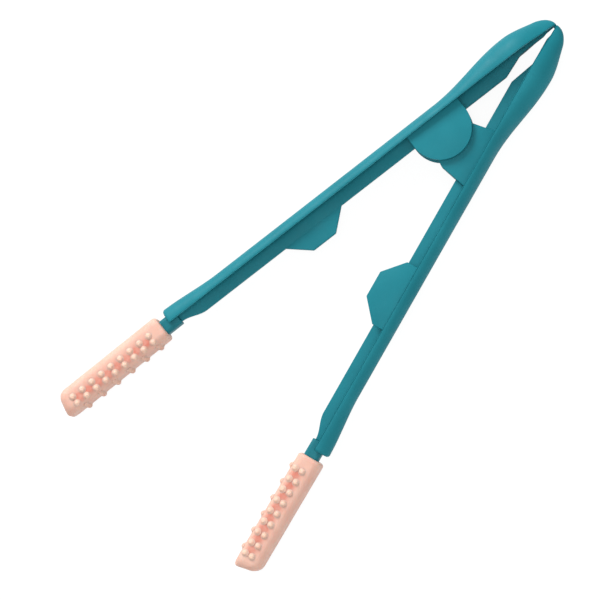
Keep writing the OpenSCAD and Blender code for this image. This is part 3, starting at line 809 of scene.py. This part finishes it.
def silicone(name, colour, deeper, cream, salmon):
    """Soft silicone: matt, a little translucent, with pale nub tops that are partly a painted highlight,
    and salmon painted shade between the nubs.
    """
    n = Nodes(name)
    tone = n.add("ShaderNodeAttribute", attribute_name="tone")
    parts = n.add("ShaderNodeSeparateColor")
    n.link(tone.outputs["Color"], parts, "Color")
    clouds = n.noise(120, 4)
    base = n.mix(n.ramp(clouds, 0, 1), colour, deeper)
    patchy = n.add("ShaderNodeMath", operation="MULTIPLY")
    n.link(parts.outputs["Green"], patchy, 0)
    n.link(n.ramp(n.noise(420, 3), 0.55, 1), patchy, 1)
    # Painted shade between the nubs: the salmon is mixed in where the tone's green share is high
    shaded_skin = n.mix(patchy.outputs[0], base, salmon)
    # Paler nub tops from the tone's red share: partly their own cream, partly a painted highlight
    n.link(n.mix(parts.outputs["Red"], shaded_skin, cream), n.shader, "Base Color")
    n.link(n.ramp(n.noise(900, 4), 0.48, 0.62), n.shader, "Roughness")
    n.shader.inputs["Specular IOR Level"].default_value = 0.35
    n.shader.inputs["Subsurface Weight"].default_value = 0.3
    n.shader.inputs["Subsurface Radius"].default_value = (1.0, 0.55, 0.4)
    n.shader.inputs["Subsurface Scale"].default_value = 0.0015
    n.bump([(n.noise(3800, 3), 0.12, 0.00004)])
    return n.material


def steel(name, colour, roughness, stretch):
    """Drawn or turned steel with fine lines along the way it was worked."""
    n = Nodes(name)
    lines = n.noise(2500, 3, stretch)
    darker = tuple(c * 0.8 for c in colour[:3]) + (1,)
    n.link(n.mix(n.ramp(lines, 0, 1), colour, darker), n.shader, "Base Color")
    n.shader.inputs["Metallic"].default_value = 1
    n.link(n.ramp(lines, roughness - 0.06, roughness + 0.1), n.shader, "Roughness")
    n.bump([(lines, 0.15, 0.00002)])
    return n.material


teal = moulded_plastic("teal_plastic", srgb(31, 131, 144), srgb(25, 123, 136), 0.5)
dark_teal = moulded_plastic("dark_teal_plastic", srgb(31, 122, 134), srgb(25, 113, 125), 0.45)
# The cream of the nub tops is partly a painted highlight; the salmon is painted shade between the nubs
pink = silicone("pink_silicone", srgb(236, 193, 175), srgb(231, 183, 165),
                srgb(248, 210, 187), srgb(216, 126, 108))
turned_steel = steel("turned_steel", srgb(196, 198, 202), 0.3, (1, 1, 0.1))
wire_steel = steel("wire_steel", srgb(176, 178, 182), 0.34, (0.2, 0.2, 1))
nylon = moulded_plastic("white_nylon", srgb(232, 232, 226), srgb(226, 226, 219), 0.5)

# ---------------------------------------------------------------- the pieces

RIGHT = on_arm(1)
LEFT = on_arm(-1)

add_piece("arm_right", right_arm(), RIGHT, "right_side", teal, "right_arm")
add_piece("arm_left", left_arm(), LEFT, "left_side", teal, "left_arm")
add_piece("cheek_front", cheek(), RIGHT, "right_side", teal, "front_cheek")
add_piece("cheek_rear", rear_cheek(), RIGHT, "right_side", teal, "rear_cheek")
add_piece("screws", cheek_screws(), RIGHT, "right_side", turned_steel, "cheek_screws")

spring = torsion_spring()
spring.transform(RIGHT)
bmesh.ops.recalc_face_normals(spring, faces=spring.faces)
spring = as_object(spring, "spring")
for face in spring.data.polygons:
    face.use_smooth = True
spring.data.materials.append(wire_steel)
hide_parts("torsion_spring")
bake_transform(spring)

for matrix, word in ((RIGHT, "right"), (LEFT, "left")):
    body = word + "_side"
    add_piece("core_" + word, tip_core(), matrix, body, dark_teal,
              word + "_tip_core")
    add_piece("sleeve_" + word, sleeve(), matrix, body, pink,
              word + "_sleeve", sharp=50)

# The pins and washers keep their CAD meshes
for node, material in (("pivot_pin", turned_steel), ("right_core_pin", turned_steel),
                       ("left_core_pin", turned_steel), ("hinge_washers", nylon)):
    for slot in frame["nodes"][node].material_slots:
        slot.material = material

# ---------------------------------------------------------------- floor, light and camera

def pale_floor():
    """White with a faint shadow where it is seen, and a plain pale surface for the light it returns."""
    material = bpy.data.materials.new("pale_floor")
    material.use_nodes = True
    nodes, links = material.node_tree.nodes, material.node_tree.links
    nodes.clear()
    rays = nodes.new("ShaderNodeLightPath")
    seen = rays.outputs["Is Camera Ray"]
    for ray in ("Is Glossy Ray", "Is Transmission Ray"):
        either = nodes.new("ShaderNodeMath")
        either.operation = "MAXIMUM"
        links.new(seen, either.inputs[0])
        links.new(rays.outputs[ray], either.inputs[1])
        seen = either.outputs[0]
    shadowed = nodes.new("ShaderNodeBsdfDiffuse")
    shadowed.inputs["Color"].default_value = (0.12, 0.12, 0.12, 1)
    glow = nodes.new("ShaderNodeEmission")
    glow.inputs["Strength"].default_value = 0.93
    white = nodes.new("ShaderNodeAddShader")
    links.new(shadowed.outputs[0], white.inputs[0])
    links.new(glow.outputs[0], white.inputs[1])
    pale = nodes.new("ShaderNodeBsdfDiffuse")
    pale.inputs["Color"].default_value = (0.8, 0.8, 0.8, 1)
    mixed = nodes.new("ShaderNodeMixShader")
    links.new(seen, mixed.inputs["Fac"])
    links.new(pale.outputs[0], mixed.inputs[1])
    links.new(white.outputs[0], mixed.inputs[2])
    out = nodes.new("ShaderNodeOutputMaterial")
    links.new(mixed.outputs[0], out.inputs["Surface"])
    return material


FLOOR_GAP = 0.00002
bpy.ops.mesh.primitive_plane_add(size=6, location=(0, 0, cad_low[2] - FLOOR_GAP))
floor = bpy.context.object
floor.name = "floor"
floor.data.materials.append(pale_floor())

world = bpy.data.worlds.new("studio")
bpy.context.scene.world = world
world.use_nodes = True
world.node_tree.nodes["Background"].inputs["Color"].default_value = (1, 1, 1, 1)
world.node_tree.nodes["Background"].inputs["Strength"].default_value = 0.41


def area_lamp(name, place, size, watts):
    """A square lamp that faces the middle of the scene."""
    data = bpy.data.lights.new(name, "AREA")
    data.size = size
    data.energy = watts
    lamp = bpy.data.objects.new(name, data)
    lamp.location = place
    lamp.rotation_euler = (-Vector(place)).to_track_quat("-Z", "Y").to_euler()
    bpy.context.scene.collection.objects.link(lamp)


area_lamp("key", (-0.35, -1.10, 0.70), 0.6, 16.5)
area_lamp("fill", (0.15, 1.05, 0.60), 0.8, 2.5)
area_lamp("top", (0.10, 0.10, 1.35), 0.7, 5)

# The camera looks down on the table, tilted a little towards the left arm's side
VIEW_TILT = math.radians(8.8)
VIEW_AZIMUTH = math.radians(96.6)
VIEW_ROLL = math.radians(130.7)
VIEW_DISTANCE = 1.39
VIEW_WIDTH = 0.2802
FRAME_MIDDLE = crossing + Vector((0.17679, -0.00646, 0))
toward = Vector((math.sin(VIEW_TILT) * math.cos(VIEW_AZIMUTH),
                 math.sin(VIEW_TILT) * math.sin(VIEW_AZIMUTH), math.cos(VIEW_TILT)))
level_right = Vector((math.cos(VIEW_ROLL), math.sin(VIEW_ROLL), 0))
right = (level_right - level_right.dot(toward) * toward).normalized()
up = toward.cross(right)
camera_data = bpy.data.cameras.new("camera")
camera_data.sensor_width = 36
camera_data.lens = camera_data.sensor_width * VIEW_DISTANCE / VIEW_WIDTH
camera = bpy.data.objects.new("camera", camera_data)
bpy.context.scene.collection.objects.link(camera)
facing = Matrix((right, up, toward)).transposed().to_4x4()
camera.matrix_world = Matrix.Translation(FRAME_MIDDLE + toward * VIEW_DISTANCE) @ facing
bpy.context.scene.camera = camera

bpy.context.scene.view_settings.view_transform = "Standard"
